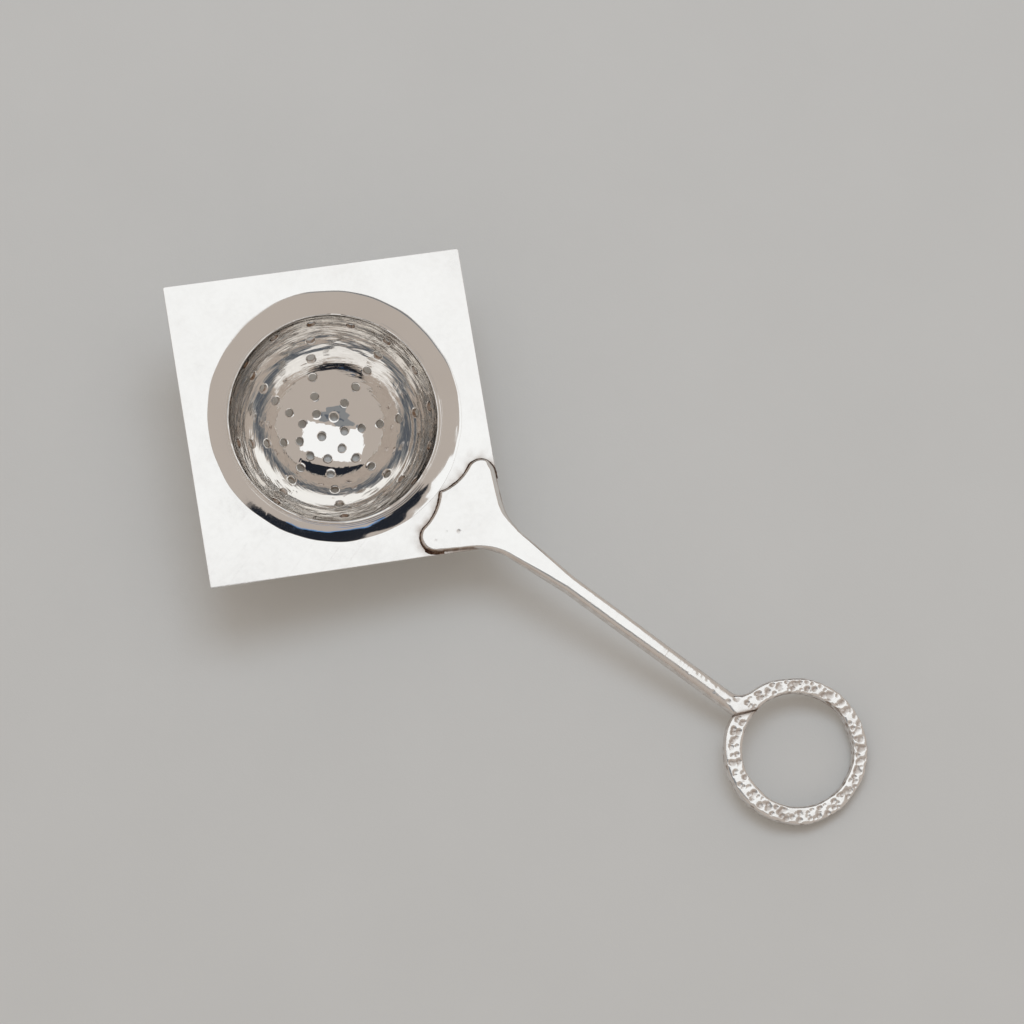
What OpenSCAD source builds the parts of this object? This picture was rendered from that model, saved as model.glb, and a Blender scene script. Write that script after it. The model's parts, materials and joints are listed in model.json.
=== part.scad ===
// Hand-wrought tea strainer: a square flange with a flared collar, a pierced
// hemispherical bowl and a one-piece forged handle that ends in a finger ring.
//
// The flange frame has its origin where the bowl's axis meets the flange's top
// face, +X along the handle and +Z out of the flange.  stand() then sets the whole
// strainer down as it rests on a table: on the bottom of its bowl and on the far
// edge of its ring, with the origin at the middle of its footprint.

/* [Flange] */
// Width of the flat border between the mouth and the flange's nearer sides
border = 4.6; // [3:0.1:10]
// How much longer the flange is than it is wide
extra_l = 0.9; // [0:0.1:3]
// Thickness of the flange sheet
flange_t = 1; // [0.6:0.1:1.5]
// Distance from the bowl's axis to the flange's centre, towards the handle
flange_shift = 0.25; // [0:0.05:1]

/* [Collar] */
// Radius of the collar's mouth at the flange's top face
mouth_r = 25.2; // [21:0.1:31]
// Width of the collar's slope, from the mouth in to the throat
collar_w = 4.3; // [2:0.1:7]
// Depth of the bowl's rim below the flange's top face
collar_depth = 2.6; // [2:0.1:6]
// Width of the collar's edge where it is let into the flange
collar_lip = 0.8; // [0.5:0.1:1.2]
// Width and height of the bevel under the collar's seat, which solder fills
seat_bevel = 0.5; // [0.3:0.05:0.6]
// Thickness of the collar at its throat
collar_t = 1; // [0.8:0.1:1.3]

/* [Bowl] */
// How far the bowl's inside stands back from the collar's throat
bowl_step = 0.3; // [0.1:0.05:0.5]
// Thickness of the bowl's wall
bowl_wall = 0.8; // [0.5:0.1:1.2]

/* [Piercing] */
// Diameter of a strainer hole
hole_d = 1.7; // [1:0.1:2]
// Number of rows of holes that run from the centre to the wall
arms = 8; // [5:1:9]
// Number of holes in each row
rings = 6; // [3:1:6]
// Angle between the bowl's axis and the first ring of holes
first_angle = 12.8; // [11:0.1:14]
// Angle from the first ring to the second
ring_step = 9.6; // [8:0.1:11]
// How much wider each later step grows
ring_growth = 1.3; // [0:0.1:1.4]
// Turn of the rows away from the handle's axis
arm_turn = 1.5; // [-10:0.5:10]
// Extra turn of the innermost ring of holes
first_ring_turn = 3.3; // [0:0.1:5]

/* [Handle foot] */
// How far the foot's central point reaches over the collar's edge
foot_over = 0.3; // [0:0.1:1]
// Thickness of the foot at its thin edge
foot_t = 1.2; // [0.8:0.1:2]
// Radius of the two hollow curves that face the bowl
scallop_r = 11.2; // [9:0.1:14]
// Distance of each hollow curve's centre from the handle's axis
scallop_y = 6; // [5:0.1:6.5]
// Distance of each lobe's centre behind the central point
lobe_x = 4.45; // [4:0.05:5]
// Distance of each lobe's centre from the handle's axis
lobe_y = 8; // [7.5:0.1:9]
// Angle at which the foot's flanks close in on the shank
flank_angle = 41.7; // [38:0.1:44]
// Radius of the hollow curve from the flank into the neck
neck_r = 12; // [8:0.5:14]
// Width of the neck where the taper starts
neck_w = 5.6; // [5:0.1:6]
// Distance of the neck's start behind the foot's central point
neck_x = 17.6; // [17:0.1:20]
// Length of the neck's taper
neck_l = 14; // [10:0.5:20]

/* [Handle shank and ring] */
// Distance from the flange's corner to the centre of the finger ring
handle_l = 70.2; // [55:0.1:90]
// Width of the shank
shank_w = 3.5; // [2.8:0.1:4.4]
// Height of the shank
shank_h = 3.1; // [2.6:0.1:3.6]
// Radius of the shank's rounded edges
shank_round = 0.9; // [0.3:0.1:1.2]
// Radius of the ring's wire at mid-width
ring_r = 12.8; // [10:0.1:16]
// Width of the ring's wire
ring_w = 2.9; // [2.4:0.1:3.4]
// Height of the ring's wire
ring_h = 3.2; // [2.6:0.1:3.6]
// Radius of the wire's rounded edges
ring_round = 0.9; // [0.3:0.1:1.2]
// Radius of the bend from the shank into the ring
curl_r = 3; // [2:0.1:4]
// Angle from the handle's axis of the cut where the ring's end meets the shank
seam_turn = 50; // [40:1:55]

/* [Solder] */
// Thickness of the solder under the foot and above the bowl's rim
solder_t = 0.15; // [0.1:0.05:0.3]
// How far a solder seam shows beside its joint
solder_w = 0.3; // [0.15:0.05:0.4]
// Gap between the ring's closing end and the shank
ring_gap = 0.3; // [0.2:0.05:0.5]

/* [Hidden] */
$fn = 96;
cut = 1; // overrun of a cutting shape past the solid it cuts

silver = [0.90, 0.90, 0.88];
bright = [0.95, 0.95, 0.94];
seam = [0.55, 0.46, 0.38];

// Flange and collar
flange_w = 2 * (mouth_r + border);
flange_l = flange_w + extra_l;
corner_x = (flange_w + flange_l) / 2 * cos(45);
seat_r = mouth_r + collar_lip;
throat_r = mouth_r - collar_w;
collar_out = throat_r + collar_t;
rim_z = -collar_depth;
collar_z = rim_z + solder_t;

// Bowl
bowl_r = throat_r + bowl_step;
bowl_out = bowl_r + bowl_wall;

// Foot, measured from its central point
cusp_x = seat_r - foot_over;
scallop_x = cusp_x - sqrt(pow(scallop_r, 2) - pow(scallop_y, 2));
lobe = [cusp_x + lobe_x, lobe_y];
lobe_r = norm(lobe - [scallop_x, scallop_y]) - scallop_r;
foot_w = 2 * (lobe_y + 2 * lobe_r);
flank_n = [sin(flank_angle), cos(flank_angle)];
neck_start = [cusp_x + neck_x, neck_w / 2];
neck_end = [cusp_x + neck_x + neck_l, shank_w / 2];
neck_angle = atan2(neck_start.y - neck_end.y, neck_l);
neck_n = [sin(neck_angle), cos(neck_angle)];
// The neck curve touches both the flank's line and the taper's line
flank_d = lobe * flank_n + lobe_r + neck_r;
taper_d = neck_start * neck_n + neck_r;
turn = sin(flank_angle - neck_angle);
neck_c = [(flank_d * neck_n.y - taper_d * flank_n.y) / turn,
          (taper_d * flank_n.x - flank_d * neck_n.x) / turn];

// Shank and ring
foot_z = solder_t;
shank_z = foot_z + shank_h / 2;
ring_x = flange_shift + corner_x + handle_l;
ring_out = ring_r + ring_w / 2;
curl_x = ring_x - sqrt(pow(ring_out + curl_r, 2) - pow(shank_w / 2 + curl_r, 2));
crease_x = ring_x - sqrt(pow(ring_out, 2) - pow(shank_w / 2, 2));
seam_l = 2.5 * ring_w; // from the crease across the wire into the ring's hole

// Resting attitude: the bowl's sphere and the ring's lower far edge both touch
// the table.  edge is that rounded edge's centre, seen from the bowl's centre.
edge = [ring_x + ring_out - ring_round,
        shank_z - ring_h / 2 + ring_round - rim_z];
rest_tilt = acos((ring_round - bowl_out) / norm(edge)) - atan2(edge.x, edge.y);
rest_z = bowl_out - rim_z * cos(rest_tilt);
near_x = (flange_shift - corner_x) * cos(rest_tilt) - flange_t * sin(rest_tilt);
far_x = edge.x * cos(rest_tilt) + ring_round
        + (shank_z + ring_h / 2 - ring_round) * sin(rest_tilt);
mid_x = (near_x + far_x) / 2;

// Turns the flange frame into the resting frame
module stand() {
    translate([-mid_x, 0, rest_z]) rotate([0, rest_tilt, 0]) children();
}

// Rectangle with rounded corners, centred
module rounded(w, h, r) {
    square([w - 2 * r, h], center = true);
    square([w, h - 2 * r], center = true);
    for (x = [-1, 1], y = [-1, 1])
        translate([x * (w / 2 - r), y * (h / 2 - r)]) circle(r);
}

// The square sheet's outline, h thick, standing on z = 0
module sheet(h) {
    translate([flange_shift, 0, h / 2]) rotate([0, 0, 45])
        cube([flange_w, flange_l, h], center = true);
}

// One rod of the piercing tool, through the bowl's wall
module punch(turn, angle) {
    translate([0, 0, rim_z]) rotate([0, 0, turn]) rotate([0, 180 - angle, 0])
        translate([0, 0, bowl_r - cut]) cylinder(d = hole_d, h = bowl_wall + 2 * cut);
}

function ring_angle(k) = first_angle + ring_step * k + ring_growth * k * (k - 1) / 2;
function ring_turn(k) = arm_turn + first_ring_turn / pow(k + 1, 2);

// The foot's outline from its central point to the end of the taper, grown by g
module foot_outline(h, g = 0) {
    half = [[scallop_x + sqrt(pow(scallop_r - g, 2) - pow(scallop_y, 2)), 0],
            [scallop_x, scallop_y] + (scallop_r - g) * (lobe - [scallop_x, scallop_y])
                / (scallop_r + lobe_r),
            lobe,
            lobe + (lobe_r + g) * flank_n,
            neck_c - (neck_r - g) * flank_n,
            neck_c - (neck_r - g) * neck_n,
            neck_end + [0, g]];
    for (side = [0, 1]) mirror([0, side, 0]) difference() {
        union() {
            linear_extrude(h) polygon(concat(half, [[neck_end.x, 0]]));
            translate([lobe.x, lobe.y, 0]) cylinder(r = lobe_r + g, h = h);
        }
        translate([scallop_x, scallop_y, -cut])
            cylinder(r = scallop_r - g, h = h + 2 * cut);
        translate([neck_c.x, neck_c.y, -cut]) cylinder(r = neck_r - g, h = h + 2 * cut);
    }
}

// Side view of the foot and neck: thin at the edge, rising to the shank
module foot_wedge() {
    translate([0, foot_w / 2, 0]) rotate([90, 0, 0])
        linear_extrude(foot_w) polygon([
            [cusp_x - cut, foot_z], [cusp_x - cut, foot_z + foot_t],
            [lobe.x, foot_z + foot_t], [neck_end.x, foot_z + shank_h],
            [neck_end.x, foot_z]]);
}

// Wire of the finger ring
module ring_wire() {
    translate([ring_x, 0, shank_z]) rotate_extrude()
        translate([ring_r, 0]) rounded(ring_w, ring_h, ring_round);
}

// Shank, from the end of the neck's taper into the ring
module rod() {
    translate([neck_end.x, 0, shank_z]) rotate([90, 0, 90])
        linear_extrude(ring_x - ring_r - neck_end.x) rounded(shank_w, shank_h, shank_round);
}

// Wedge of metal in the hollow of the bend between shank and ring
module curl_web() {
    translate([0, 0, foot_z + shank_round]) difference() {
        linear_extrude(shank_h - 2 * shank_round)
            polygon([[curl_x, 0], [curl_x, shank_w / 2],
                     [ring_x + (curl_x - ring_x) * ring_out / (ring_out + curl_r),
                      (shank_w / 2 + curl_r) * ring_out / (ring_out + curl_r)],
                     [ring_x - ring_r, 0]]);
        translate([curl_x, shank_w / 2 + curl_r, -cut])
            cylinder(r = curl_r, h = shank_h + 2 * cut);
    }
}

// Slit left where the ring's end closes against the curl, from their outer crease
module ring_slit(overrun = 0) {
    translate([crease_x, -shank_w / 2, shank_z - ring_h / 2 - overrun])
        rotate([0, 0, seam_turn]) translate([-ring_gap, -ring_gap / 2, 0])
            cube([seam_l, ring_gap, ring_h + 2 * overrun]);
}

module flange() {
    color(bright) difference() {
        translate([0, 0, -flange_t]) sheet(flange_t);
        translate([0, 0, -flange_t - cut]) cylinder(r = seat_r, h = flange_t + 2 * cut);
        rim_solder();
    }
}

module collar() {
    color(silver) rotate_extrude() polygon([
        [throat_r, collar_z], [mouth_r, 0], [seat_r, 0], [seat_r, -flange_t],
        [collar_out, collar_z]]);
}

module bowl() {
    color(silver) difference() {
        translate([0, 0, rim_z]) rotate_extrude() intersection() {
            difference() {
                circle(bowl_out);
                circle(bowl_r);
            }
            translate([0, -bowl_out]) square(bowl_out);
        }
        punch(0, 0);
        for (k = [0:rings - 1], n = [0:arms - 1])
            punch(ring_turn(k) + n * 360 / arms, ring_angle(k));
        for (n = [0:arms - 1])
            punch(ring_turn(rings - 1) + (n + 0.5) * 360 / arms, ring_angle(rings - 1));
    }
}

module handle() {
    color(bright) difference() {
        union() {
            intersection() {
                foot_outline(foot_z + shank_h);
                foot_wedge();
            }
            rod();
            curl_web();
            ring_wire();
        }
        ring_slit(cut);
    }
}

// Solder that fills the bevel under the collar's seat, flush with the flange
module rim_solder() {
    color(seam) rotate_extrude() polygon([
        [seat_r, -flange_t], [seat_r + seat_bevel, -flange_t],
        [seat_r, -flange_t + seat_bevel]]);
}

// Solder between the bowl's rim and the collar, standing a little proud on both sides
module bowl_solder() {
    mid_z = (rim_z + collar_z) / 2;
    color(seam) rotate_extrude() polygon([
        [throat_r, rim_z], [throat_r - solder_w, mid_z], [throat_r, collar_z],
        [collar_out, collar_z], [max(bowl_out, collar_out) + solder_w, mid_z],
        [bowl_out, rim_z]]);
}

// Solder between foot and flange, showing as a seam round the foot
module foot_solder() {
    color(seam) intersection() {
        foot_outline(solder_t, solder_w);
        sheet(solder_t);
    }
}

// Solder that fills the slit where the ring closes
module ring_solder() {
    color(seam) intersection() {
        ring_slit();
        ring_wire();
    }
}

stand() flange();
stand() collar();
stand() bowl();
stand() handle();
stand() rim_solder();
stand() bowl_solder();
stand() foot_solder();
stand() ring_solder();
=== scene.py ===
"""The looks of a hand-wrought silver tea strainer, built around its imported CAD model.

Shapes are worked out in the flange frame, in millimetres: the origin is where the
bowl's axis meets the flange's top face, +X runs along the handle and +Z out of the
flange.  to_row() turns them into the row frame, in metres.
"""

import json
import math

import bmesh
import bpy
import numpy as np
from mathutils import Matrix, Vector
from mathutils.geometry import delaunay_2d_cdt


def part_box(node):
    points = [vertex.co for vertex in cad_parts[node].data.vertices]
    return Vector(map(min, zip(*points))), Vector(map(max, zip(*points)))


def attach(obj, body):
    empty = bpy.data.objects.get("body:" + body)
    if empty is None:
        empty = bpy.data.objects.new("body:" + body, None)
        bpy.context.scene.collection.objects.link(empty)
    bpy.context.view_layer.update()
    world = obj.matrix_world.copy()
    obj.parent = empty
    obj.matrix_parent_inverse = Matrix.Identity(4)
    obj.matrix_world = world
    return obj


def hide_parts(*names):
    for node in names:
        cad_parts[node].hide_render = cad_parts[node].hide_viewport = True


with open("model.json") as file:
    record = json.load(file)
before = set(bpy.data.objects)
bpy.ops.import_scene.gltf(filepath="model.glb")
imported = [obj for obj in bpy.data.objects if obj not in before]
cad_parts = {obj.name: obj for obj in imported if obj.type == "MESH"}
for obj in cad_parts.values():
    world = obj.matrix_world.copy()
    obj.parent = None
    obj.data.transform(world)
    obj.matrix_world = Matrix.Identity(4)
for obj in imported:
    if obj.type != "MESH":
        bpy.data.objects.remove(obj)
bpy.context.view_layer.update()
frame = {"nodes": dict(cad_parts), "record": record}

MM = 0.001
TAU = 2 * math.pi

# ---------------------------------------------------------------- the flange frame

mounts = {mount["name"]: mount for mount in frame["record"]["mounts"]}
normal = -np.array(mounts["cup_rest"]["axis"])
normal /= np.linalg.norm(normal)
across = np.array([0.0, 1.0, 0.0])
along = np.cross(across, normal)
AXES = np.array([along, across, normal])

bowl_low, bowl_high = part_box("bowl")
BOWL_OUT = (bowl_high.y - bowl_low.y) / 2 / MM
bowl_centre = np.array([bowl_low.x + BOWL_OUT * MM, 0, bowl_low.z + BOWL_OUT * MM])


def corners_of(node):
    """A CAD node's points, in the flange's directions, in millimetres"""
    return np.array([v.co for v in frame["nodes"][node].data.vertices]) @ AXES.T / MM


plate = corners_of("flange")
TOP = plate[:, 2].max()
CENTRE = AXES @ bowl_centre / MM
ORIGIN = AXES.T @ np.array([CENTRE[0], 0, TOP]) * MM
RIM_Z = CENTRE[2] - TOP
FLANGE_T = TOP - plate[:, 2].min()
RING_X = ((np.array(mounts["finger_ring"]["pos_m"]) - ORIGIN) @ along) / MM


def to_row(points):
    """Flange frame in millimetres to row frame in metres"""
    return ORIGIN + (np.asarray(points, float) * MM) @ AXES


# ---------------------------------------------------------------- sizes, in millimetres

FLANGE_W, FLANGE_L, FLANGE_SHIFT = 59.6, 60.5, 0.25
MOUTH_R, SEAT_R, THROAT_R = 25.2, 26.0, 20.9
COLLAR_T, SEAT_BEVEL = 1.0, 0.5
COLLAR_Z = RIM_Z + 0.15
BOWL_R = BOWL_OUT - 0.8
HOLE_R = 0.85
ARMS, RINGS = 8, 6
HOLE_ANGLE, HOLE_STEP, HOLE_WIDEN = 12.8, 9.6, 1.3
HOLE_TURN, HOLE_SWIRL = 1.5, 3.3

CUSP_X = 25.7
SCALLOP_R, SCALLOP_Y = 11.2, 6.0
LOBE = np.array([CUSP_X + 4.45, 8.0])
FLANK = math.radians(41.7)
NECK_R = 12.0
NECK_START = np.array([CUSP_X + 17.6, 2.8])
NECK_END = np.array([CUSP_X + 31.6, 1.75])
SHANK_W, SHANK_H = 3.5, 3.1
RING_R, RING_W, RING_H = 12.8, 2.9, 3.2
RING_MORE, RING_HEAVY, RING_HEAVY_TURN = 0.45, 0.35, math.radians(247)
FOOT_Z, FOOT_T = 0.15, 1.2
SHANK_Z = FOOT_Z + SHANK_H / 2

# ---------------------------------------------------------------- small mathematics


def ripple(points, length, seed, waves=14):
    """Smooth noise from -1 to 1, about length across from crest to crest"""
    random = np.random.RandomState(seed)
    points = np.asarray(points, float)
    total = np.zeros(len(points))
    for _ in range(waves):
        direction = random.normal(size=points.shape[1])
        direction *= TAU / length * random.uniform(0.6, 1.5) / np.linalg.norm(direction)
        total += np.sin(points @ direction + random.uniform(0, TAU))
    return np.clip(total / math.sqrt(waves) / 1.6, -1, 1)


def step(low, high, value):
    """Smooth step from 0 at low to 1 at high"""
    t = np.clip((value - low) / (high - low), 0, 1)
    return t * t * t * (t * (6 * t - 15) + 10)


def soft_min(a, b, k):
    """The smaller of two fields, with the corner between them rounded over k"""
    h = np.maximum(k - np.abs(a - b), 0) / k
    return np.minimum(a, b) - h * h * k / 4


def soft_max(a, b, k):
    """The larger of two fields, with the corner between them rounded over k"""
    return -soft_min(-a, -b, k)


def lengths(vectors):
    """Length of each vector in an array"""
    return np.sqrt((vectors ** 2).sum(-1))


# ---------------------------------------------------------------- mesh building


def piece(name, points, faces, nodes, slot, material, normals=None, sharp=40, **layers):
    """A finished piece of the object from flange-frame points"""
    mesh = bpy.data.meshes.new(name)
    mesh.from_pydata(to_row(points).tolist(), [], faces)
    mesh.validate()
    mesh.shade_smooth()
    if normals is None:
        mesh.set_sharp_from_angle(angle=math.radians(sharp))
    else:
        turned = normals @ AXES
        mesh.normals_split_custom_set_from_vertices(turned.tolist())
    for layer, values in layers.items():
        data = mesh.attributes.new(layer, "FLOAT", "POINT")
        data.data.foreach_set("value", np.asarray(values, np.float32))
    mesh.materials.append(material)
    made = bpy.data.objects.new(name, mesh)
    bpy.context.scene.collection.objects.link(made)
    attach(made, "root")
    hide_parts(*nodes)
    return made


def loop_faces(rows, columns):
    """Quads of a closed profile of `columns` points swept through `rows` places"""
    faces = []
    for i in range(rows):
        for j in range(columns):
            a, b = i * columns + j, i * columns + (j + 1) % columns
            c, d = ((i + 1) % rows) * columns + j, ((i + 1) % rows) * columns + (j + 1) % columns
            faces.append((a, b, d, c))
    return faces


def surface_net(field, low, high, cell):
    """Points and quads of the surface where field is 0, on a grid of cubes"""
    axes = [np.arange(a, b + cell, cell) for a, b in zip(low, high)]
    shape = tuple(len(a) for a in axes)
    grid = np.stack(np.meshgrid(*axes, indexing="ij"), -1).reshape(-1, 3)
    value = field(grid).reshape(shape)
    inside = value < 0
    cubes = tuple(n - 1 for n in shape)
    corner = [(i, j, k) for i in (0, 1) for j in (0, 1) for k in (0, 1)]

    def shifted(data, at):
        return data[tuple(slice(o, o + n) for o, n in zip(at, cubes))]

    count = sum(shifted(inside, at).astype(int) for at in corner)
    live = (count > 0) & (count < 8)
    where = np.argwhere(live)
    index = -np.ones(cubes, int)
    index[live] = np.arange(len(where))
    total = np.zeros((len(where), 3))
    hits = np.zeros(len(where))
    for p in corner:
        for q in corner:
            if sum(q) - sum(p) != 1 or min(b - a for a, b in zip(p, q)) < 0:
                continue
            vp = value[tuple((where + p).T)]
            vq = value[tuple((where + q).T)]
            cross = (vp < 0) != (vq < 0)
            t = np.where(cross, vp / np.where(cross, vp - vq, 1), 0)[:, None]
            total += cross[:, None] * (np.array(p) + t * (np.array(q) - np.array(p)))
            hits += cross
    points = np.array(low) + (where + total / hits[:, None]) * cell
    faces = []
    for axis in range(3):
        u, v = (axis + 1) % 3, (axis + 2) % 3
        first = [slice(None)] * 3
        second = [slice(None)] * 3
        first[axis], second[axis] = slice(0, -1), slice(1, None)
        change = inside[tuple(first)] != inside[tuple(second)]
        at = np.argwhere(change)
        keep = (at[:, u] > 0) & (at[:, v] > 0) & (at[:, u] < cubes[u]) & (at[:, v] < cubes[v])
        at = at[keep]
        du, dv = np.eye(3, dtype=int)[u], np.eye(3, dtype=int)[v]
        quad = [index[tuple((at - a).T)] for a in (0 * du, du, du + dv, dv)]
        quad = np.stack(quad, 1)
        outward = inside[tuple(at.T)]
        quad[~outward] = quad[~outward][:, ::-1]
        faces.append(quad)
    return points, np.concatenate(faces)


def slope_of(field, points, reach=0.01):
    """The field's gradient at the points"""
    steps = np.eye(3) * reach
    return np.stack([field(points + s) - field(points - s) for s in steps], 1) / (2 * reach)


def solid_of(field, low, high, cell, rounds=4):
    """Points, quads and normals of a field's surface, its points drawn onto it"""
    points, faces = surface_net(field, low, high, cell)
    for _ in range(rounds):
        slope = slope_of(field, points)
        pull = field(points) / np.maximum((slope ** 2).sum(1), 0.25)
        points = points - np.clip(pull, -cell / 2, cell / 2)[:, None] * slope
    slope = slope_of(field, points, 0.03)
    return points, faces, slope / lengths(slope)[:, None]


# ---------------------------------------------------------------- materials


class Nodes:
    """Short names for making a material's nodes"""

    def __init__(self, name):
        self.material = bpy.data.materials.new(name)
        self.material.use_nodes = True
        self.tree = self.material.node_tree
        self.shader = self.tree.nodes["Principled BSDF"]
        self.place = self.add("ShaderNodeTexCoord").outputs["Object"]

    def add(self, kind, **inputs):
        node = self.tree.nodes.new(kind)
        for key, value in inputs.items():
            self.feed(node.inputs[key.replace("_", " ")], value)
        return node

    def feed(self, socket, value):
        if isinstance(value, bpy.types.NodeSocket):
            self.tree.links.new(value, socket)
        else:
            socket.default_value = value

    def noise(self, scale, detail=3.0, roughness=0.5, stretch=None, turn=(0, 0, 0), distort=0.0):
        """Noise of that many cells to a metre, stretched along turned axes"""
        place = self.place
        if stretch:
            mapping = self.add("ShaderNodeMapping", Vector=self.place)
            mapping.inputs["Rotation"].default_value = turn
            mapping.inputs["Scale"].default_value = stretch
            place = mapping.outputs["Vector"]
        node = self.add("ShaderNodeTexNoise", Vector=place, Scale=scale, Detail=detail,
                        Roughness=roughness, Distortion=distort)
        return node.outputs["Fac"]

    def span(self, value, low, high, to_low=0.0, to_high=1.0):
        node = self.add("ShaderNodeMapRange", Value=value)
        for key, number in (("From Min", low), ("From Max", high),
                            ("To Min", to_low), ("To Max", to_high)):
            node.inputs[key].default_value = number
        return node.outputs["Result"]

    def math(self, operation, a, b=0.0):
        node = self.add("ShaderNodeMath")
        node.operation = operation
        self.feed(node.inputs[0], a)
        self.feed(node.inputs[1], b)
        return node.outputs["Value"]

    def blend(self, factor, a, b):
        node = self.add("ShaderNodeMix")
        node.data_type = "RGBA"
        self.feed(node.inputs["Factor"], factor)
        self.feed(node.inputs["A"], a)
        self.feed(node.inputs["B"], b)
        return node.outputs["Result"]

    def layer(self, name):
        node = self.add("ShaderNodeAttribute")
        node.attribute_name = name
        return node.outputs["Fac"]

    def bump(self, height, strength, distance, below=None):
        node = self.add("ShaderNodeBump", Height=height, Strength=strength, Distance=distance)
        if below is not None:
            self.feed(node.inputs["Normal"], below)
        return node.outputs["Normal"]


SILVER = (0.965, 0.95, 0.925, 1)
WARM_SILVER = (0.935, 0.915, 0.89, 1)
# Brown of tarnish, also used as painted shade on the handle's sides, under the foot's near flank and
# round the bowl's holes
TARNISH_AND_SHADE = (0.26, 0.16, 0.10, 1)


def silver(name, rough, colour, scratch, swell, tarnish=None, lines=None):
    """Polished silver: its shine varies, with handling scratches, faint stains and, where its layer
    asks, painted shade
    """
    n = Nodes(name)
    cloud = n.noise(90, 4, 0.6)
    fine = n.noise(900, 2, 0.5)
    n.shader.inputs["Metallic"].default_value = 1.0
    varied = n.math("ADD", n.span(cloud, 0.35, 0.7, rough * 0.7, rough * 1.3),
                    n.span(fine, 0.4, 0.6, -0.015, 0.02))
    shade = n.blend(n.span(n.noise(55, 5, 0.65), 0.45, 0.75), colour, WARM_SILVER)
    if tarnish:
        # The layer holds real tarnish and painted shade, broken up by noise
        darkening = n.layer(tarnish)
        patchy_darkening = n.math("MULTIPLY", darkening, n.span(n.noise(700, 3, 0.6), 0.3, 0.6, 0.45, 1.0))
        shade = n.blend(patchy_darkening, shade, TARNISH_AND_SHADE)
        varied = n.math("ADD", varied, n.math("MULTIPLY", darkening, 0.2))
    n.feed(n.shader.inputs["Base Color"], shade)
    n.feed(n.shader.inputs["Roughness"], varied)
    surface = n.bump(n.noise(160, 2, 0.5), swell, 0.0006)
    for turn, share in ((0.5, 1.0), (-0.9, 0.8), (1.9, 0.6)):
        mark = n.noise(420, 2, 0.5, (1.0, 0.03, 1.0), (0, 0, turn), 0.2)
        mark = n.span(mark, 0.62, 0.68)
        surface = n.bump(mark, scratch * share, 0.00004, surface)
    if lines:
        scale, stretch, turn, depth = lines
        surface = n.bump(n.noise(scale, 3, 0.6, stretch, turn), depth, 0.0001, surface)
    n.feed(n.shader.inputs["Normal"], surface)
    return n.material


def solder_material(name, dark=(0.06, 0.03, 0.02, 1), light=(0.32, 0.22, 0.16, 1)):
    """Solder seam: grey metal under brown tarnish that lies in its pits"""
    n = Nodes(name)
    n.shader.inputs["Metallic"].default_value = 1.0
    pits = n.noise(1400, 4, 0.65)
    shade = n.blend(n.span(pits, 0.42, 0.66), dark, light)
    n.feed(n.shader.inputs["Base Color"], shade)
    n.feed(n.shader.inputs["Roughness"], n.span(pits, 0.3, 0.7, 0.55, 0.32))
    n.feed(n.shader.inputs["Normal"], n.bump(pits, 0.6, 0.0001))
    return n.material


# ---------------------------------------------------------------- plan of the foot

SCALLOP = np.array([CUSP_X - math.sqrt(SCALLOP_R ** 2 - SCALLOP_Y ** 2), SCALLOP_Y])
LOBE_R = np.linalg.norm(LOBE - SCALLOP) - SCALLOP_R
FLANK_N = np.array([math.sin(FLANK), math.cos(FLANK)])
TAPER = math.atan2(NECK_START[1] - NECK_END[1], NECK_END[0] - NECK_START[0])
TAPER_N = np.array([math.sin(TAPER), math.cos(TAPER)])
FLANK_D = LOBE @ FLANK_N + LOBE_R
TAPER_D = NECK_START @ TAPER_N
NECK = np.linalg.solve(np.array([FLANK_N, TAPER_N]), [FLANK_D + NECK_R, TAPER_D + NECK_R])


def foot_plan(x, y):
    """Signed distance in plan from the outline of foot, neck and shank"""
    point = np.stack([x, np.abs(y)], -1)
    flank = point @ FLANK_N - FLANK_D
    taper = np.minimum(point @ TAPER_N - TAPER_D, point[:, 1] - SHANK_W / 2)
    hollow = point - NECK
    before = hollow @ np.array([FLANK_N[1], -FLANK_N[0]]) < 0
    after = hollow @ np.array([TAPER_N[1], -TAPER_N[0]]) > 0
    right = np.where(before, flank, np.where(after, taper, NECK_R - lengths(hollow)))
    scallop = SCALLOP_R - lengths(point - SCALLOP)
    seen = LOBE - SCALLOP
    above = (point - SCALLOP) @ np.array([-seen[1], seen[0]]) > 0
    left = (point - LOBE) @ np.array([FLANK_N[1], -FLANK_N[0]]) < 0
    return np.where(above & left, lengths(point - LOBE) - LOBE_R, np.maximum(right, scallop))


def ring_wire(turn):
    """Radius of the middle of the ring's wire and its width, uneven from the hammer"""
    waver = 0.1 + 0.06 * np.sin(5 * turn + 0.7) + 0.04 * np.sin(9 * turn + 2.1)
    width = RING_W + RING_MORE + RING_HEAVY * np.cos(turn - RING_HEAVY_TURN)
    width += 0.10 * np.sin(7 * turn + 1.3) + 0.07 * np.sin(13 * turn)
    return RING_R + waver, width


def ring_plan(x, y):
    """Signed distance in plan from the ring"""
    middle, width = ring_wire(np.arctan2(y, x - RING_X))
    wire = np.abs(np.hypot(x - RING_X, y) - middle) - width / 2
    return soft_max(wire, x - (RING_X + RING_R + RING_W / 2 - 0.03), 0.5)


SEAM_TURN = math.radians(50)
SEAM_BEFORE, SEAM_LENGTH = 0.6, 5.6
SEAM_WAY = np.array([math.cos(SEAM_TURN), math.sin(SEAM_TURN)])
SEAM_START = np.array([RING_X - math.sqrt((RING_R + RING_W / 2) ** 2 - SHANK_W ** 2 / 4),
                       -SHANK_W / 2])


def seam_gap(points):
    """Distance from the line where the ring closes, and how far along it"""
    away = points[:, :2] - SEAM_START
    line = np.abs(away @ np.array([-SEAM_WAY[1], SEAM_WAY[0]]))
    run = away @ SEAM_WAY
    return line + 4 * np.maximum(0, np.maximum(-SEAM_BEFORE - run, run - SEAM_LENGTH))


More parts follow.
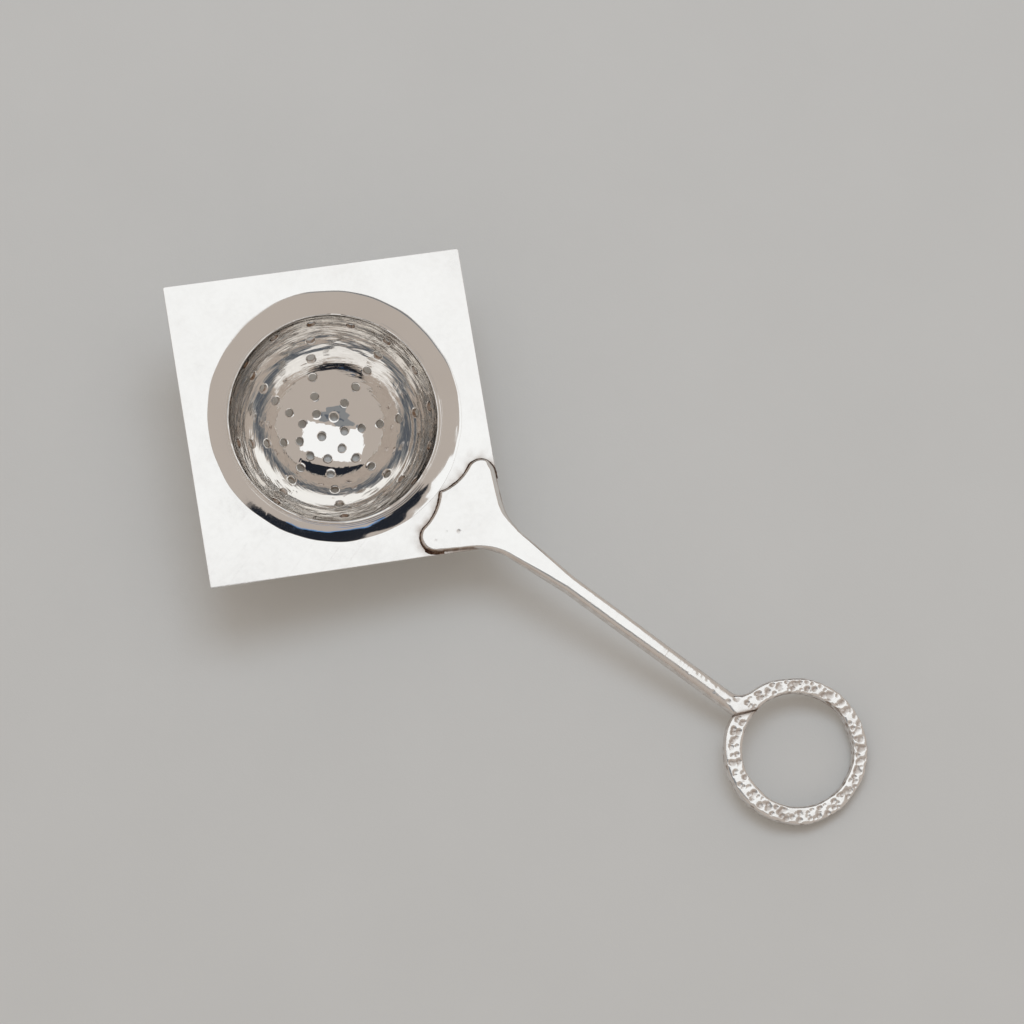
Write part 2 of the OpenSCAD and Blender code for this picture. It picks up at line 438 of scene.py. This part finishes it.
def handle_plan(x, y):
    """Foot, shank and ring, with the smooth bend on the ring's far side"""
    shank = np.maximum(foot_plan(x, y), x - (RING_X - RING_R))
    bend = 0.15 + 3.2 * step(0.0, 1.6, y) * step(-10.5, -13.0, x - RING_X)
    return soft_min(shank, ring_plan(x, y), bend)


# ---------------------------------------------------------------- the handle

PIT_DEPTH = 0.07
FOOT_PITS = ((30.7, -8.7), (31.3, -6.0), (33.2, -4.4), (31.4, 6.2))

# Rows of blows round the ring: out and up from the middle of its wire, how many, depth, face
RING_ROWS = ((0.5, 1.5, 62, 0.17, 1.3), (-0.5, 1.5, 56, 0.17, 1.3), (0.0, 1.5, 40, 0.15, 2.0),
             (1.5, 1.1, 50, 0.18, 1.6), (-1.5, 1.1, 44, 0.18, 1.6),
             (1.5, -0.3, 36, 0.13, 2.4), (-1.5, -0.3, 34, 0.13, 2.4),
             (0.7, -1.5, 40, 0.10, 2.0), (-0.7, -1.5, 40, 0.10, 2.0))
SIDE_CLEAR, TOP_CLEAR = 0.22, 0.03
STRUCK_FROM = 84


def hammer_blows():
    """Centre and radius of the round hammer faces that dent the ring and the shank"""
    random = np.random.RandomState(11)
    blows = []

    def strike(spot, way, depth, face):
        way = np.array(way) / np.linalg.norm(way)
        blows.append((*(np.array(spot) + way * (face - depth)), face))

    def strike_ring(out, up, count, depth, face):
        """A row of blows, kept off the place where the shank joins the ring"""
        clear = SIDE_CLEAR if out > 0.6 else TOP_CLEAR
        for i in range(count):
            turn = TAU * (i + random.uniform(-0.4, 0.4)) / count
            ray = np.array([math.cos(turn), math.sin(turn), 0])
            side = out + random.uniform(-0.22, 0.22)
            rise = up + random.uniform(-0.1, 0.1)
            middle, width = ring_wire(turn)
            wire = np.array([RING_X, 0, SHANK_Z]) + ray * middle
            reach = 1 / max(abs(side) / (width / 2), abs(rise) / (RING_H / 2), 0.5)
            spot = wire + (ray * side + np.array([0, 0, rise])) * reach
            flat = np.array([0, 0, 1.0]) if abs(rise) / RING_H > abs(side) / RING_W else ray
            flat = flat * np.sign(rise if flat[2] else side)
            way = flat + 0.35 * (ray * side + np.array([0, 0, rise]))
            twist = np.cross([0, 0, 1], ray) * random.uniform(-0.3, 0.3)
            deep = random.uniform(0.5, 1.25) * depth
            wide = random.uniform(0.7, 1.5) * face
            if abs(math.cos(turn / 2)) > clear:
                strike(spot, way + twist, deep, wide)

    for row in RING_ROWS:
        strike_ring(*row)
    for x in np.arange(STRUCK_FROM, RING_X - 16, 0.75):
        share = step(STRUCK_FROM - 2, STRUCK_FROM + 8, x)
        side = random.uniform(-1.3, 1.3)
        spot = (x + random.uniform(-0.4, 0.4), side,
                SHANK_Z + SHANK_H / 2 - 0.4 * max(0, abs(side) - 0.8))
        strike(spot, (random.uniform(-0.15, 0.15), side * 0.4, 1),
               0.04 + random.uniform(0.03, 0.10) * share, random.uniform(1.5, 3.0))
    for x, y in FOOT_PITS:
        face = random.uniform(1.0, 2.0)
        blows.append((x, y, FOOT_Z + FOOT_T + face, face + PIT_DEPTH))
    return blows


BLOWS = hammer_blows()


def handle_height(x):
    """Height of the handle's top face: thin at the foot, full at the end of the neck"""
    rise = step(LOBE[0] - 2, NECK_END[0] + 4, x)
    return FOOT_Z + FOOT_T + (SHANK_H - FOOT_T) * rise


def handle_body(points, seam=True):
    """Signed distance from the whole forging, before it is hammered"""
    x, y, z = points.T
    plan = handle_plan(x, y)
    # Shares from 0 to 1: on the ring, on the foot, on the far side, on the foot's far flank
    ring = step(-17.5, -14.0, x - RING_X)
    foot = 1 - step(NECK_START[0] - 2, NECK_END[0], x)
    far_side = step(-0.5, 1.0, y)
    flank = step(2, 4, y) * step(LOBE[0] - 1.2, LOBE[0] + 0.6, x) * (1 - step(35, 44, x))
    thin = 0.25 * step(66, 90, x)
    # The faces, uneven by hand
    hand = 0.03 * ripple(points, 11, 5) + 0.012 * (1 - foot) * ripple(points, 2.6, 6)
    top = z - (handle_height(x) - 0.05 + 0.05 * ring) + hand * (1 - 0.6 * ring)
    floor = FOOT_Z - 0.03 * ring - z
    # How far the edges are filed off
    near_side = (1 - far_side) * (0.4 * step(34, 46, x) + thin)
    upper_edge = 0.30 + (0.2 + thin) * far_side * (1 - foot) + 0.75 * flank + near_side
    upper_edge = upper_edge * (1 - ring) + 0.2 * ring
    lower_edge = 0.7 * step(-0.4, 0.4, x - NECK_START[0] + 1) * (1 - ring) + 0.65 * ring
    body = soft_max(plan, top, 0.12)
    body = soft_max(body, (plan + top + upper_edge) * math.sqrt(0.5), 0.12 + 0.3 * (1 - foot))
    body = soft_max(body, floor, 0.1)
    body = soft_max(body, (plan + floor + lower_edge) * math.sqrt(0.5), 0.3)
    if seam:
        body = soft_max(body, 0.09 - seam_gap(points), 0.15)
    return body


def handle_field(points):
    """Signed distance from the finished handle"""
    body = handle_body(points)
    near = np.flatnonzero(np.abs(body) < 0.5)
    spots, value = points[near], body[near]
    order = np.argsort(spots[:, 0])
    spots, value = spots[order], value[order]
    for cx, cy, cz, face in BLOWS:
        a, b = np.searchsorted(spots[:, 0], (cx - face, cx + face))
        cut = face - lengths(spots[a:b] - (cx, cy, cz))
        value[a:b] = soft_max(value[a:b], cut, 0.05)
    body[near[order]] = value
    return body


def build_handle():
    low = (CUSP_X - 1.5, -RING_R - RING_W, -0.5)
    high = (RING_X + RING_R + RING_W, RING_R + RING_W, SHANK_H + 0.9)
    cell = 0.2
    points, faces, normals = solid_of(handle_field, low, high, cell)
    plan = handle_plan(points[:, 0], points[:, 1])
    foot = 1 - step(NECK_START[0] - 2, NECK_START[0] + 3, points[:, 0])
    # Tarnish lies in the dents and in the seam, and the foot's lower edge is darker; the sides get
    # painted shade, and the gap under the foot's near flank a painted shadow
    low_edge = step(-0.5, -0.05, plan) * (0.45 + 0.55 * step(1.0, 0.2, points[:, 2]))
    hollow = step(0.02, 0.12, -handle_body(points))
    # Painted shade: the more a face turns sideways, the darker it is
    side = step(0.05, 0.45, 1 - np.abs(normals[:, 2]))
    dark = 0.5 * hollow + side * (0.38 - 0.2 * foot)
    # Painted shadow in the gap under the foot's near flank
    gap = foot * step(-4.2, -5.4, points[:, 1]) * step(-0.4, -0.1, plan)
    gap *= points[:, 0] > LOBE[0]
    dark = np.maximum(dark, gap)
    darkening = np.maximum(low_edge * foot, 0.9 * np.exp(-((seam_gap(points) / 0.5) ** 2)))
    darkening = np.maximum(darkening, dark)
    material = silver("handle silver", rough=0.20, colour=SILVER, scratch=0.35, swell=0.12,
                      tarnish="tarnish", lines=(900, (0.06, 1.0, 1.0), (0, 0, 0), 0.12))
    piece("forged_handle", points, faces.tolist(), ["handle"], "handle_silver", material,
          normals, tarnish=darkening)


def build_ring_solder():
    """The solder that fills the line where the ring closes"""
    def field(points):
        return soft_max(handle_body(points, False) + 0.08, seam_gap(points) - 0.13, 0.05)

    low = (SEAM_START[0] - 1, -3, -0.3)
    high = (RING_X - 10, 3.5, SHANK_H + 0.7)
    points, faces, normals = solid_of(field, low, high, 0.09)
    piece("ring_seam_solder", points, faces.tolist(), ["ring_solder"], "solder",
          solder_material("seam solder", (0.10, 0.07, 0.05, 1), (0.35, 0.29, 0.25, 1)), normals)


# ---------------------------------------------------------------- solder round the foot


def foot_outline(spacing=0.25):
    """Points and outward directions along the foot's outline, up to the flange's corner"""
    corner = FLANGE_SHIFT + (FLANGE_W + FLANGE_L) / 2 * math.sqrt(0.5)
    start = np.array([CUSP_X, 0]) - SCALLOP
    end = LOBE - SCALLOP
    a, b = math.atan2(start[1], start[0]), math.atan2(end[1], end[0])
    turns = np.linspace(a, b, int(abs(b - a) * SCALLOP_R / spacing))
    rays = np.stack([np.cos(turns), np.sin(turns)], 1)
    chain = [(SCALLOP + SCALLOP_R * rays, -rays)]
    turns = np.linspace(b + math.pi, math.pi / 2 - FLANK, int(8 / spacing))
    rays = np.stack([np.cos(turns), np.sin(turns)], 1)
    chain.append((LOBE + LOBE_R * rays, rays))
    flank_start = LOBE + LOBE_R * FLANK_N
    flank_end = NECK - NECK_R * FLANK_N
    share = np.linspace(0, 1, int(np.linalg.norm(flank_end - flank_start) / spacing))[1:, None]
    chain.append((flank_start + (flank_end - flank_start) * share,
                  np.repeat(FLANK_N[None], len(share), 0)))
    turns = np.linspace(math.pi / 2 - FLANK, math.pi / 2 - TAPER, int(7 / spacing))[1:]
    rays = np.stack([np.cos(turns), np.sin(turns)], 1)
    chain.append((NECK - NECK_R * rays, rays))
    spots = np.concatenate([c[0] for c in chain])
    ways = np.concatenate([c[1] for c in chain])
    keep = spots[:, 0] + spots[:, 1] < corner - 0.4
    spots, ways = spots[keep], ways[keep]
    mirrored = spots[1:][::-1] * (1, -1), ways[1:][::-1] * (1, -1)
    return np.concatenate([mirrored[0], spots]), np.concatenate([mirrored[1], ways])


def build_foot_solder():
    spots, ways = foot_outline()
    flat = np.concatenate([spots, np.zeros((len(spots), 1))], 1)
    wide = 0.26 + 0.10 * ripple(spots, 3.0, 3) + 0.05 * ripple(spots, 0.9, 4)
    # Painted shadow: the dark bead is widened under the foot's near flank, where the gap lies in
    # shade
    gap = step(-4.2, -6.0, spots[:, 1]) * (spots[:, 0] > LOBE[0])
    wide = np.clip(wide + 0.3 * gap, 0.08, 0.6)
    tall = 0.26 + 0.08 * ripple(spots, 2.0, 8)
    profile = []
    for out, up in ((-0.5, 0.0), (-0.5, 0.14), (-0.02, 1.0), (0.35, 0.62), (0.75, 0.22), (1, 0.0)):
        shift = np.where(out < 0, out, out * wide)
        height = np.where(out == -0.5, up, up * tall) + 0.004
        ring = flat.copy()
        ring[:, :2] += ways * shift[:, None]
        ring[:, 2] = height
        profile.append(ring)
    points = np.stack(profile, 1)
    rows, columns = points.shape[:2]
    faces = loop_faces(rows, columns)[: (rows - 1) * columns]
    faces += [tuple(range(columns))[::-1], tuple(range((rows - 1) * columns, rows * columns))]
    piece("foot_seam_solder", points.reshape(-1, 3), faces, ["foot_solder"], "solder",
          solder_material("foot solder"), sharp=60)


# ---------------------------------------------------------------- flange and collar


def mouth_edge(turn):
    """Radius of the hand-cut edge between flange and collar"""
    return (MOUTH_R + 0.07 * np.sin(3 * turn + 0.4) + 0.06 * np.sin(7 * turn + 1.9)
            + 0.04 * np.sin(13 * turn + 0.2) + 0.03 * np.sin(23 * turn + 2.2))


def square_outline(spacing, rounding=0.35):
    """Points round the flange's outline, with its corners just softened"""
    half_w, half_l = FLANGE_W / 2, FLANGE_L / 2
    spots = []
    for k, (sx, sy) in enumerate(((1, 1), (-1, 1), (-1, -1), (1, -1))):
        centre = np.array([sx * (half_w - rounding), sy * (half_l - rounding)])
        turns = math.pi / 2 * (k + np.linspace(0, 1, 7))
        spots.append(centre + rounding * np.stack([np.cos(turns), np.sin(turns)], 1))
        side = 2 * ((half_w if k % 2 == 0 else half_l) - rounding)
        share = np.linspace(0, 1, int(side / spacing))[1:-1, None]
        following = ((-1, 1), (-1, -1), (1, -1), (1, 1))[k]
        target = np.array([following[0] * (half_w - rounding), following[1] * (half_l - rounding)])
        edge = math.pi / 2 * (k + 1)
        push = rounding * np.array([math.cos(edge), math.sin(edge)])
        spots.append(centre + push + (target - centre) * share)
    spots = np.concatenate(spots)
    c = math.sqrt(0.5)
    return spots @ np.array([[c, c], [-c, c]]) + (FLANGE_SHIFT, 0)


def build_flange():
    outer = square_outline(0.4)
    turn = np.arctan2(outer[:, 1], outer[:, 0])
    ray = np.stack([np.cos(turn), np.sin(turn)], 1)
    reach = lengths(outer)
    inner = mouth_edge(turn)
    soft, chamfer = 0.07, 0.1
    seat = SEAT_R + SEAT_BEVEL

    def band(radius, height):
        """A line of points round the sheet"""
        radius = radius + 0 * reach
        return np.column_stack([ray * radius[:, None], np.full(len(ray), height)])

    top = [band(inner + soft + (reach - inner - 2 * soft) * share, 0.0)
           for share in np.linspace(0, 1, 44) ** 1.15]
    edge = [band(reach - soft * (1 - math.sin(a)), -soft * (1 - math.cos(a)))
            for a in (0.4, 0.8, 1.2, math.pi / 2)]
    lower = [band(reach, chamfer - FLANGE_T), band(reach - chamfer, -FLANGE_T)]
    under = [band(seat + (reach - chamfer - seat) * share, -FLANGE_T)
             for share in (0.8, 0.6, 0.4, 0.2, 0.0)]
    bevel = [band(SEAT_R, SEAT_BEVEL - FLANGE_T), band(SEAT_R, -0.35), band(inner + 0.02, -0.3)]
    lip = [band(inner + soft * (1 - math.sin(a)), -soft * (1 - math.cos(a)))
           for a in (math.pi / 2, 1.1, 0.7, 0.35)]
    profile = top + edge + lower + under + bevel + lip
    flat = np.stack(profile, 1).reshape(-1, 3)
    face = step(-0.5, -0.1, flat[:, 2])
    swell = 0.030 * ripple(flat[:, :2], 26, 21) + 0.010 * ripple(flat[:, :2], 7, 22)
    flat[:, 2] += (swell - 0.035) * face
    foot = foot_plan(flat[:, 0], flat[:, 1])
    darkening = np.exp(-np.maximum(foot, 0) / (0.6 + 0.3 * ripple(flat[:, :2], 3, 9)))
    darkening *= 0.85 * face
    material = silver("flange silver", rough=0.20, colour=SILVER, scratch=0.45, swell=0.08,
                      tarnish="tarnish")
    piece("flange_sheet", flat, loop_faces(len(outer), len(profile)), ["flange"],
          "flange_silver", material, sharp=45, tarnish=darkening)


def lathe(name, profile, count, nodes, slot, material, wobble):
    """A turned piece from a closed profile of (radius, height) points, made uneven by wobble"""
    turns = np.linspace(0, TAU, count, endpoint=False)
    rows = []
    for r, z in profile:
        radius = np.full(count, float(r))
        height = np.full(count, float(z))
        radius, height = wobble(radius, height, turns)
        rows.append(np.stack([radius * np.cos(turns), radius * np.sin(turns), height], 1))
    points = np.stack(rows, 1).reshape(-1, 3)
    piece(name, points, loop_faces(count, len(profile)), nodes, slot, material)


def collar_curve(slopes, count=60):
    """Radii and heights of the collar's face, from its slopes in degrees going inward"""
    share = np.linspace(0, 1, count)
    steep = np.tan(np.radians(np.interp(share, *zip(*slopes))))
    fall = np.concatenate([[0], np.cumsum((steep[1:] + steep[:-1]) / 2)])
    return (MOUTH_R - (MOUTH_R - THROAT_R - 0.1) * share,
            -0.03 + (COLLAR_Z + 0.03) * fall / fall[-1])


# The collar's slopes, in degrees at shares of its width, on its two sides
LONG_ROLL = ((0, 19), (0.25, 22.5), (0.5, 28), (1, 41))
SHORT_ROLL = ((0, 8), (0.03, 14), (0.1, 27), (1, 34))
LONG_SIDE = math.radians(285)

# Radii and heights of the fine ridges left by the hammer near the throat
THROAT_RIDGES = ((22.1, 0.02), (21.72, 0.035), (21.4, 0.05))
RIDGE_WIDTH = 0.08
LATHE_STEPS = 480


def build_collar():
    radii, short = collar_curve(SHORT_ROLL)
    rolled = collar_curve(LONG_ROLL)[1] - short
    face = [(MOUTH_R, -0.01)]
    for r, z in zip(radii, short):
        lift = sum(high * math.exp(-(((r - at) / RIDGE_WIDTH) ** 2)) for at, high in THROAT_RIDGES)
        face.append((r, z + lift))
    back = [(THROAT_R + 0.05, COLLAR_Z), (THROAT_R + COLLAR_T, COLLAR_Z)]
    back += [(SEAT_R, -FLANGE_T), (SEAT_R - 0.02, -0.34), (MOUTH_R + 0.02, -0.28)]

    def wobble(radius, height, turns):
        """Hand-made: a wavering edge, and a longer roll on one side"""
        on_face = np.interp(radius, radii[::-1], short[::-1])
        shown = np.abs(height - on_face) < 0.2
        low_side = 0.5 + 0.5 * np.cos(turns - LONG_SIDE)
        height = height + shown * step(0.2, 0.8, low_side) * np.interp(
            radius, radii[::-1], rolled[::-1])
        share = step(THROAT_R + 1.5, MOUTH_R, radius) * (shown | (radius > MOUTH_R))
        radius = radius + (mouth_edge(turns) - MOUTH_R) * share
        spots = np.stack([radius * np.cos(turns), radius * np.sin(turns)], 1)
        hand = 0.05 * ripple(spots, 12, 31) + 0.02 * ripple(spots, 4, 32)
        return radius, height + hand * shown * step(MOUTH_R, MOUTH_R - 1.5, radius)

    material = silver("collar silver", rough=0.08, colour=SILVER, scratch=0.08, swell=0.05)
    lathe("flared_collar", face + back, LATHE_STEPS, ["collar"], "collar_silver", material, wobble)


def build_bowl_solder():
    """The fine raised bead between the bowl and the collar"""
    middle = (RIM_Z + COLLAR_Z) / 2
    outer = max(BOWL_OUT, THROAT_R + COLLAR_T)
    profile = [(THROAT_R + 0.02, RIM_Z + 0.02)]
    profile += [(THROAT_R - 0.11 * math.sin(a), middle - 0.12 * math.cos(a))
                for a in np.linspace(0.2, math.pi - 0.2, 9)]
    profile += [(THROAT_R + 0.02, COLLAR_Z), (THROAT_R + COLLAR_T, COLLAR_Z),
                (outer + 0.25, middle), (BOWL_OUT, RIM_Z)]

    def wobble(radius, height, turns):
        inside = radius < THROAT_R
        spots = np.stack([THROAT_R * np.cos(turns), THROAT_R * np.sin(turns)], 1)
        return radius + inside * 0.05 * ripple(spots, 5, 41), height

    material = silver("throat solder", rough=0.16, colour=WARM_SILVER, scratch=0.2, swell=0.2)
    lathe("throat_solder", profile, LATHE_STEPS, ["bowl_solder"], "solder", material, wobble)


# ---------------------------------------------------------------- the pierced bowl


# The rings of points that lead from a hole's edge into the net, over the hole's radius
NET_INSIDE, NET_OUTSIDE = 1.13, 1.45


def hole_centres():
    """Directions of the holes: angle from the axis and turn about it, in degrees"""
    centres = [(0.0, 0.0)]
    for k in range(RINGS):
        angle = HOLE_ANGLE + HOLE_STEP * k + HOLE_WIDEN * k * (k - 1) / 2
        turn = HOLE_TURN + HOLE_SWIRL / (k + 1) ** 2
        places = 2 * ARMS if k == RINGS - 1 else ARMS
        centres += [(angle, turn + n * 360 / places) for n in range(places)]
    return centres


def direction(angle, turn):
    """Unit vectors out of the bowl's centre, angle from its axis, both in radians"""
    return np.stack([np.sin(angle) * np.cos(turn), np.sin(angle) * np.sin(turn), -np.cos(angle)], -1)


def flat_of(ways):
    """Directions laid flat: their angle from the bowl's axis becomes their radius"""
    angle = np.arccos(np.clip(-ways[:, 2], -1, 1))
    turn = np.arctan2(ways[:, 1], ways[:, 0])
    return np.stack([angle * np.cos(turn), angle * np.sin(turn)], 1).tolist()


def hole_rings(axes, half, sides=28):
    """Rings of points round the holes, laid flat, their edges, and the holes' own rings"""
    flat, edges, loops = [], [], []
    for axis in axes:
        side = np.cross(axis, (0.3, 0.5, 0.8))
        side /= np.linalg.norm(side)
        other = np.cross(axis, side)
        turns = np.linspace(0, TAU, sides, endpoint=False)
        ring = np.cos(turns)[:, None] * side + np.sin(turns)[:, None] * other
        for grow in (1.0, NET_INSIDE, NET_OUTSIDE):
            first = len(flat)
            flat += flat_of(axis * math.cos(half * grow) + ring * math.sin(half * grow))
            edges += [(first + i, first + (i + 1) % sides) for i in range(sides)]
            if grow == 1.0:
                loops.append([first + i for i in range(sides)])
    return flat, edges, loops


def bowl_net(axes, half, random, rim_count=300):
    """Directions and angles of the bowl's points, its triangles, its holes and its rim"""
    spacing = 0.95
    flat, edges, loops = hole_rings(axes, half)
    rim = [len(flat) + i for i in range(rim_count)]
    for i in range(rim_count):
        turn = TAU * i / rim_count
        flat.append([math.pi / 2 * math.cos(turn), math.pi / 2 * math.sin(turn)])
    edges += [(rim[i], rim[(i + 1) % rim_count]) for i in range(rim_count)]
    for k in range(1, int(90 / spacing)):
        angle = math.radians(k * spacing)
        count = max(6, int(360 * math.sin(angle) / spacing))
        turns = TAU * (np.arange(count) + random.uniform()) / count
        ways = direction(np.full(count, angle), turns)
        reserved = half * NET_OUTSIDE + math.radians(spacing) * 0.55
        flat += flat_of(ways[(ways @ axes.T).max(1) < math.cos(reserved)])
    result = delaunay_2d_cdt([Vector(p) for p in flat], edges, [], 0, 1e-9)
    flat, faces, origin = np.array(result[0]), result[2], result[3]
    angle = np.hypot(flat[:, 0], flat[:, 1])
    ways = direction(angle, np.arctan2(flat[:, 1], flat[:, 0]))
    middle = ways[np.array(faces)].mean(1)
    middle /= lengths(middle)[:, None]
    solid = (middle @ axes.T).max(1) < math.cos(half * 0.98)
    faces = np.array([face for face, keep in zip(faces, solid) if keep])
    place = {old: new for new, olds in enumerate(origin) for old in olds}
    holes = [[place[i] for i in loop] for loop in loops]
    return ways, angle, faces, holes, [place[i] for i in rim]


def build_bowl():
    random = np.random.RandomState(7)
    centres = np.radians(hole_centres())
    axes = direction(centres[:, 0], centres[:, 1])
    half = math.asin(HOLE_R / BOWL_R)
    half_out = math.asin(HOLE_R / BOWL_OUT)
    ways, angle, faces, holes, rim = bowl_net(axes, half, random)
    n = len(ways)
    on_hole = np.zeros(n)
    ways_out = ways.copy()
    for axis, hole in zip(axes, holes):
        on_hole[hole] = 1
        away = ways[hole] - (ways[hole] @ axis)[:, None] * axis
        away /= lengths(away)[:, None]
        ways_out[hole] = axis * math.cos(half_out) + away * math.sin(half_out)

    blows = random.normal(size=(900, 3))
    blows /= lengths(blows)[:, None]
    blows = blows[blows[:, 2] < 0.1]
    near = np.sqrt(np.maximum(2 - 2 * (ways @ blows.T), 0)) * BOWL_OUT
    planish = np.maximum(0.045 - near ** 2 / 90, 0).max(1)
    wall = step(math.radians(38), math.radians(62), angle)
    level = np.sin(angle * 88 + 2.2 * ripple(ways, 0.5, 51)) * 0.6
    level += np.sin(angle * 57 + 3.0 * ripple(ways, 0.7, 52)) * 0.7
    patchy = 0.5 + 0.5 * ripple(ways, 0.6, 54)
    raised = 0.036 * wall * level * patchy
    raised += 0.05 * ripple(ways * (1, 1, 2), 0.9, 53) * (0.35 + 0.65 * wall)
    rim_fade = step(math.pi / 2, math.pi / 2 - 0.06, angle)
    inner = BOWL_R + raised * rim_fade + 0.05 * on_hole
    outer = BOWL_OUT - planish * rim_fade - 0.06 * on_hole
    centre = np.array([0, 0, RIM_Z])
    points = np.concatenate([centre + ways * inner[:, None], centre + ways_out * outer[:, None]])

    a, b, c = (points[faces[:, i]] for i in range(3))
    outward = (np.cross(b - a, c - a) * ways[faces[:, 0]]).sum(1) > 0
    faces[outward] = faces[outward][:, ::-1]
    made = faces.tolist() + (faces[:, ::-1] + n).tolist()
    for loop in holes + [rim]:
        made += [(i, j, j + n, i + n) for i, j in zip(loop, loop[1:] + loop[:1])]
    # The inner wall is darker in patches. Painted shade rings the holes, stronger on the steep wall
    # and full on the outside, so the holes' walls read dark
    darkening = np.concatenate([0.22 * wall * (0.5 + 0.5 * patchy), np.zeros(n)])
    darkening[:n] += (0.15 + 0.6 * wall) * on_hole
    darkening[n:] += on_hole
    tilt = -math.atan2(normal[0], normal[2])
    material = silver("bowl silver", rough=0.03, colour=(0.96, 0.94, 0.91, 1), scratch=0.1,
                      swell=0.05, tarnish="tarnish",
                      lines=(120, (0.4, 0.4, 7.0), (0, tilt, 0), 0.45))
    bowl = piece("pierced_bowl", points, made, ["bowl"], "bowl_silver", material, sharp=38,
                 tarnish=darkening)
    mend_normals(bowl)


def mend_normals(made):
    """Makes all of a closed mesh's faces look outwards"""
    work = bmesh.new()
    work.from_mesh(made.data)
    bmesh.ops.recalc_face_normals(work, faces=work.faces)
    work.to_mesh(made.data)
    work.free()


# ---------------------------------------------------------------- room, light, camera


def floor_material():
    n = Nodes("pale paper")
    grain = n.noise(25, 6, 0.6)
    shade = n.blend(n.span(grain, 0.3, 0.7), (0.723, 0.725, 0.702, 1), (0.743, 0.745, 0.722, 1))
    n.feed(n.shader.inputs["Base Color"], shade)
    n.feed(n.shader.inputs["Roughness"], n.span(n.noise(1200, 2), 0.3, 0.7, 0.75, 0.9))
    n.shader.inputs["Specular IOR Level"].default_value = 0.15
    n.feed(n.shader.inputs["Normal"], n.bump(n.noise(2500, 3), 0.08, 0.0002))
    return n.material


def build_floor():
    mesh = bpy.data.meshes.new("floor")
    size = 3.0
    mesh.from_pydata([(-size, -size, 0), (size, -size, 0), (size, size, 0), (-size, size, 0)],
                     [], [(0, 1, 2, 3)])
    mesh.materials.append(floor_material())
    floor = bpy.data.objects.new("floor", mesh)
    bpy.context.scene.collection.objects.link(floor)


def ray_of(azimuth, elevation):
    """Unit vector towards an azimuth and elevation in degrees"""
    a, e = math.radians(azimuth), math.radians(elevation)
    return Vector((math.cos(e) * math.cos(a), math.cos(e) * math.sin(a), math.sin(e)))


# The point that the camera and the lights look at, in metres in the row frame
TARGET = Vector((-0.0025, 0.00472, 0.020))


def aim(thing, azimuth, elevation, distance):
    """Puts a light, card or camera at a distance from the target, looking at it"""
    way = ray_of(azimuth, elevation)
    thing.location = TARGET + way * distance
    thing.rotation_euler = way.to_track_quat("Z", "Y").to_euler()


def softbox(name, azimuth, elevation, distance, width, height, radiance, colour, glossy=True):
    """A rectangular light of a given brightness over the sky's, unseen by the camera"""
    data = bpy.data.lights.new(name, "AREA")
    data.shape = "RECTANGLE"
    data.size, data.size_y = width, height
    data.color = colour
    data.energy = radiance * math.pi * width * height
    light = bpy.data.objects.new(name, data)
    bpy.context.scene.collection.objects.link(light)
    aim(light, azimuth, elevation, distance)
    light.visible_camera = False
    light.visible_glossy = glossy


def card(name, azimuth, elevation, distance, width, height, colour, ragged=0.0):
    """A studio card that only reflections show, with a ragged outline if asked"""
    mesh = bpy.data.meshes.new(name)
    if ragged:
        turns = np.linspace(0, TAU, 40, endpoint=False)
        reach = 1 + ragged * (0.6 * np.sin(3 * turns + 0.6) + 0.4 * np.sin(7 * turns + 2.0))
        rim = [(width / 2 * r * math.cos(a), height / 2 * r * math.sin(a), 0)
               for a, r in zip(turns, reach)]
    else:
        w, h = width / 2, height / 2
        rim = [(-w, -h, 0), (w, -h, 0), (w, h, 0), (-w, h, 0)]
    mesh.from_pydata(rim, [], [tuple(range(len(rim)))])
    material = bpy.data.materials.new(name)
    material.use_nodes = True
    nodes = material.node_tree.nodes
    nodes.clear()
    glow = nodes.new("ShaderNodeEmission")
    glow.inputs["Color"].default_value = (*colour, 1)
    out = nodes.new("ShaderNodeOutputMaterial")
    material.node_tree.links.new(glow.outputs["Emission"], out.inputs["Surface"])
    mesh.materials.append(material)
    made = bpy.data.objects.new(name, mesh)
    bpy.context.scene.collection.objects.link(made)
    aim(made, azimuth, elevation, distance)
    for kind in ("camera", "diffuse", "transmission", "volume_scatter", "shadow"):
        setattr(made, "visible_" + kind, False)


def build_room():
    world = bpy.data.worlds.new("room")
    bpy.context.scene.world = world
    world.use_nodes = True
    sky = world.node_tree.nodes["Background"]
    sky.inputs["Color"].default_value = (0.458, 0.408, 0.370, 1)
    sky.inputs["Strength"].default_value = 1.0
    softbox("softbox", 115.7, 77.5, 0.93, 1.185, 0.65, 0.553, (0.883, 1.0, 1.085))
    softbox("key", 120, 74, 0.93, 0.5, 0.35, 2.4, (0.85, 1.0, 1.2), glossy=False)
    card("dark_gap", 122, 40, 0.9, 1.08, 0.33, (0.015, 0.018, 0.025))
    card("blue_edge", 118, 28.8, 0.9, 0.6, 0.03, (0.10, 0.28, 0.60))
    card("camera_side", -64, 73, 0.6, 0.42, 0.21, (0.23, 0.24, 0.25), ragged=0.4)
    card("lens", -62, 74, 0.5, 0.15, 0.08, (0.10, 0.115, 0.14), ragged=0.5)


def build_camera():
    data = bpy.data.cameras.new("camera")
    data.angle = math.radians(16.43)
    camera = bpy.data.objects.new("camera", data)
    bpy.context.scene.collection.objects.link(camera)
    aim(camera, azimuth=-55.25, elevation=74.578, distance=0.7)
    data.clip_start = 0.01
    bpy.context.scene.camera = camera


# ---------------------------------------------------------------- the whole strainer

build_camera()
build_room()
build_floor()
build_flange()
build_collar()
build_bowl_solder()
build_bowl()
build_handle()
build_foot_solder()
build_ring_solder()

# The bead under the flange keeps its CAD shape
frame["nodes"]["rim_solder"].material_slots[0].material = solder_material("rim solder")

bpy.context.scene.view_settings.view_transform = "Standard"
